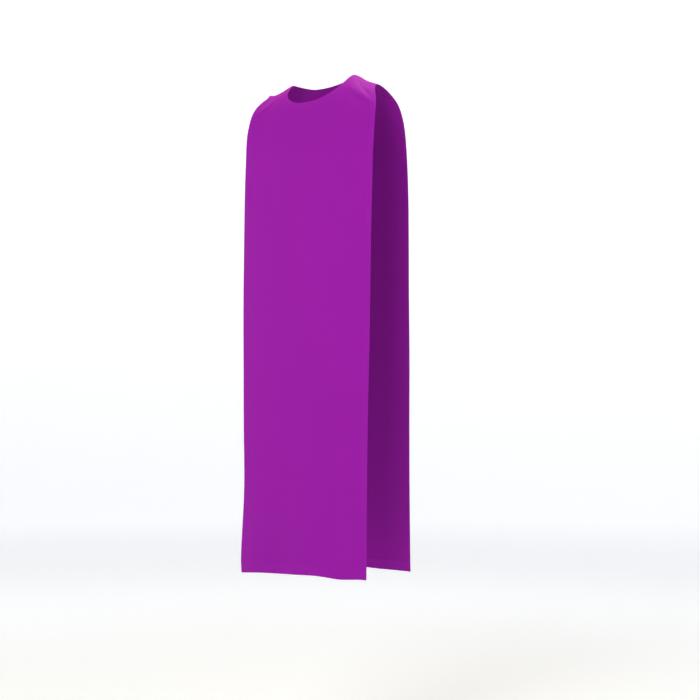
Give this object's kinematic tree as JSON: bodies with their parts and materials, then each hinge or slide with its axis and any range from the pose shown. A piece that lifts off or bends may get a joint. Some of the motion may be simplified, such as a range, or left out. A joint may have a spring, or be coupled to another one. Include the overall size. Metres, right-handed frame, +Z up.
{
  "type": "scapular",
  "caption": "Worn scapular: long straight cloth panels at front and back, sewn together on the shoulders beside a round neck opening, open at the sides.",
  "frame": {"origin": "midway between the two shoulder seams, level with where they meet the neck edge, which is where the wearer's shoulders hold the garment up", "axes": "+Z up, +X towards the wearer's left, the front panel faces -Y"},
  "size_m": [0.3602, 0.2467, 1.1922],
  "materials": {
    "purple_cloth_front": "smooth matte woven cloth",
    "purple_cloth_back": "smooth matte woven cloth"
  },
  "bodies": {
    "root": {"front_panel": "purple_cloth_front", "back_panel": "purple_cloth_back"}
  },
  "joints": []
}
